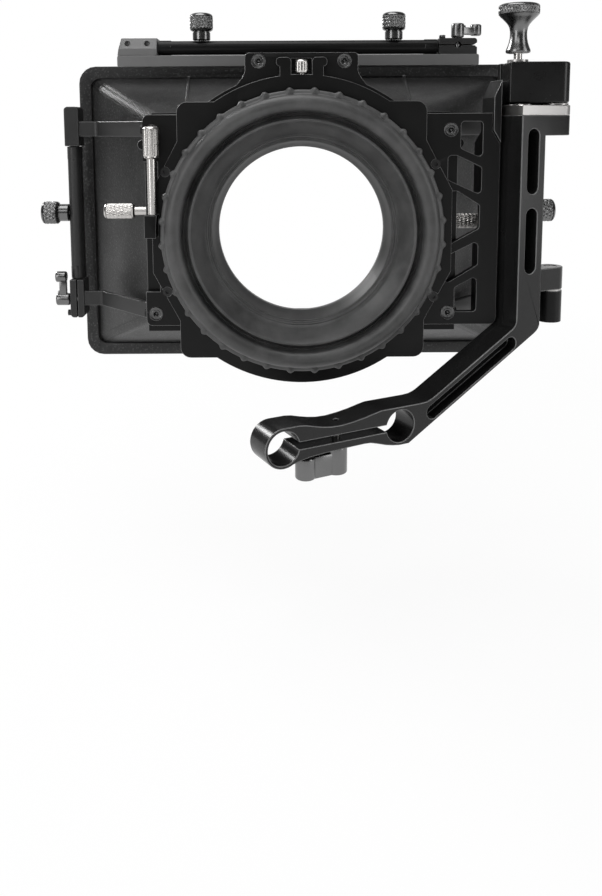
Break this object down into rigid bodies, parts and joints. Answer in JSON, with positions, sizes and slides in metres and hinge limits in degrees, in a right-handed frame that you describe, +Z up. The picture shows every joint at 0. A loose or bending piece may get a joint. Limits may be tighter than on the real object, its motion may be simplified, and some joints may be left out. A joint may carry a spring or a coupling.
{
  "type": "matte box",
  "caption": "Swing-away matte box with a donut port, two filter stages, a flared hood, flag holders and an arm that clamps on two 15 mm rods.",
  "frame": {"origin": "on the lens axis, inside the rubber donut's port", "axes": "+Y along the lens axis towards the scene, +Z up, parallel to the arm's hinge, +X to the hinge side"},
  "size_m": [0.2912, 0.1731, 0.2165],
  "materials": {
    "black_anodised": "satin black anodised, thin bright edges",
    "stainless": "turned and brushed stainless steel",
    "dark_chrome": "dark polished steel, knurled grips",
    "grey_lever": "satin grey",
    "black_screws": "black oxide steel",
    "hood_plastic": "black ABS with a fine grain",
    "donut_rubber": "matte dark grey rubber"
  },
  "bodies": {
    "arm": {"swing_arm": "black_anodised", "detent_plate": "stainless", "detent_plate_screws": "black_screws", "rod_clamp_screw": "stainless"},
    "rod_clamp_lever": {"rod_clamp_lever": "grey_lever"},
    "box": {"mounting_plate": "black_anodised", "ring_plate": "black_anodised", "donut_seat_ring": "black_anodised", "rear_stage": "black_anodised", "front_stage": "black_anodised", "hinge_post": "black_anodised", "hinge_block": "black_anodised", "top_bridge": "black_anodised", "top_base_bar": "black_anodised", "top_cheek": "black_anodised", "top_clamp_block": "black_anodised", "left_upper_bracket": "black_anodised", "left_lower_bracket": "black_anodised", "right_upper_bracket": "black_anodised", "right_lower_bracket": "black_anodised", "upper_hinge_pin": "stainless", "lower_hinge_pin": "stainless", "hinge_washers": "stainless", "lock_spring": "stainless", "lock_bush": "stainless", "plate_screws": "black_screws", "ring_plate_screws": "black_screws", "seat_ring_screws": "black_screws", "stage_screws": "black_screws", "hood_screws": "black_screws", "post_screws": "black_screws", "block_screws": "black_screws", "top_fixing_screws": "black_screws", "bracket_screws": "black_screws", "hood": "hood_plastic", "rubber_donut": "donut_rubber"},
    "rear_tray": {"rear_tray": "black_anodised", "rear_tray_handle": "hood_plastic"},
    "front_tray": {"front_tray": "black_anodised", "front_tray_handle": "hood_plastic"},
    "left_tray_lock": {"left_tray_lock": "stainless"},
    "right_tray_lock": {"right_tray_lock": "stainless"},
    "ring_lock_knob": {"ring_lock_knob": "stainless"},
    "ring_lock_rod": {"ring_lock_rod": "stainless"},
    "lock": {"lock_knob": "dark_chrome", "lock_pin": "stainless"},
    "top_bar": {"top_flag_bar": "black_anodised"},
    "top_left_screw": {"top_left_screw": "dark_chrome"},
    "top_right_screw": {"top_right_screw": "dark_chrome"},
    "top_clamp_lever": {"top_clamp_lever": "dark_chrome"},
    "left_bar": {"left_flag_bar": "black_anodised"},
    "left_flag_screw": {"left_flag_screw": "dark_chrome"},
    "left_clamp_lever": {"left_clamp_lever": "dark_chrome"},
    "right_bar": {"right_flag_bar": "black_anodised"},
    "right_flag_screw": {"right_flag_screw": "dark_chrome"},
    "right_clamp_lever": {"right_clamp_lever": "dark_chrome"}
  },
  "joints": [
    {"name": "box_swing", "type": "hinge", "parent": "arm", "child": "box", "pos_m": [0.1256, 0.0003, 0], "axis": [0, 0, 1], "range_deg": [-100, 27]},
    {"name": "rod_clamp_turn", "type": "hinge", "parent": "arm", "child": "rod_clamp_lever", "pos_m": [0.01369, -0.05672, -0.0975], "axis": [0, 0, 1], "range_deg": [-90, 90]},
    {"name": "rear_tray_lift", "type": "slide", "parent": "box", "child": "rear_tray", "axis": [0, 0, 1], "range_m": [0, 0.01]},
    {"name": "front_tray_lift", "type": "slide", "parent": "box", "child": "front_tray", "axis": [0, 0, 1], "range_m": [0, 0.01]},
    {"name": "left_tray_lock_turn", "type": "hinge", "parent": "box", "child": "left_tray_lock", "pos_m": [-0.084, 0.0048, 0.0088], "axis": [1, 0, 0], "range_deg": [0, 720]},
    {"name": "right_tray_lock_turn", "type": "hinge", "parent": "box", "child": "right_tray_lock", "pos_m": [0.0789, 0.0148, 0.0018], "axis": [1, 0, 0], "range_deg": [0, 720]},
    {"name": "ring_knob_turn", "type": "hinge", "parent": "box", "child": "ring_lock_knob", "pos_m": [0, -0.01125, 0.0758], "axis": [0, 0, 1], "range_deg": [0, 720]},
    {"name": "ring_rod_turn", "type": "hinge", "parent": "box", "child": "ring_lock_rod", "pos_m": [-0.0718, -0.0171, 0.036], "axis": [0, 0, 1], "range_deg": [0, 720]},
    {"name": "lock_lift", "type": "slide", "parent": "box", "child": "lock", "axis": [0, 0, 1], "range_m": [0, 0.004], "stiffness_N_per_m": 800, "springref_m": -0.006, "deforming": ["lock_spring"]},
    {"name": "top_bar_tilt", "type": "hinge", "parent": "box", "child": "top_bar", "pos_m": [0, 0.06, 0.0941], "axis": [1, 0, 0], "range_deg": [-45, 75]},
    {"name": "top_left_screw_turn", "type": "hinge", "parent": "top_bar", "child": "top_left_screw", "pos_m": [-0.0534, 0.06, 0.0941], "axis": [0, 0, 1], "range_deg": [0, 720]},
    {"name": "top_right_screw_turn", "type": "hinge", "parent": "top_bar", "child": "top_right_screw", "pos_m": [0.0534, 0.06, 0.0941], "axis": [0, 0, 1], "range_deg": [0, 720]},
    {"name": "top_clamp_turn", "type": "hinge", "parent": "box", "child": "top_clamp_lever", "pos_m": [0.0879, 0.0554, 0.0986], "axis": [0, 0, 1], "range_deg": [-90, 90]},
    {"name": "left_bar_turn", "type": "hinge", "parent": "box", "child": "left_bar", "pos_m": [-0.126, 0.06, 0.0025], "axis": [0, 0, 1], "range_deg": [-75, 75]},
    {"name": "left_flag_screw_turn", "type": "hinge", "parent": "left_bar", "child": "left_flag_screw", "pos_m": [-0.126, 0.06, 0.0025], "axis": [1, 0, 0], "range_deg": [0, 720]},
    {"name": "left_clamp_turn", "type": "hinge", "parent": "box", "child": "left_clamp_lever", "pos_m": [-0.1303, 0.0554, -0.0467], "axis": [1, 0, 0], "range_deg": [-90, 90]},
    {"name": "right_bar_turn", "type": "hinge", "parent": "box", "child": "right_bar", "pos_m": [0.126, 0.06, 0.0025], "axis": [0, 0, 1], "range_deg": [-75, 75]},
    {"name": "right_flag_screw_turn", "type": "hinge", "parent": "right_bar", "child": "right_flag_screw", "pos_m": [0.126, 0.06, 0.0025], "axis": [1, 0, 0], "range_deg": [0, 720]},
    {"name": "right_clamp_turn", "type": "hinge", "parent": "box", "child": "right_clamp_lever", "pos_m": [0.1303, 0.0554, -0.0467], "axis": [1, 0, 0], "range_deg": [-90, 90]}
  ]
}
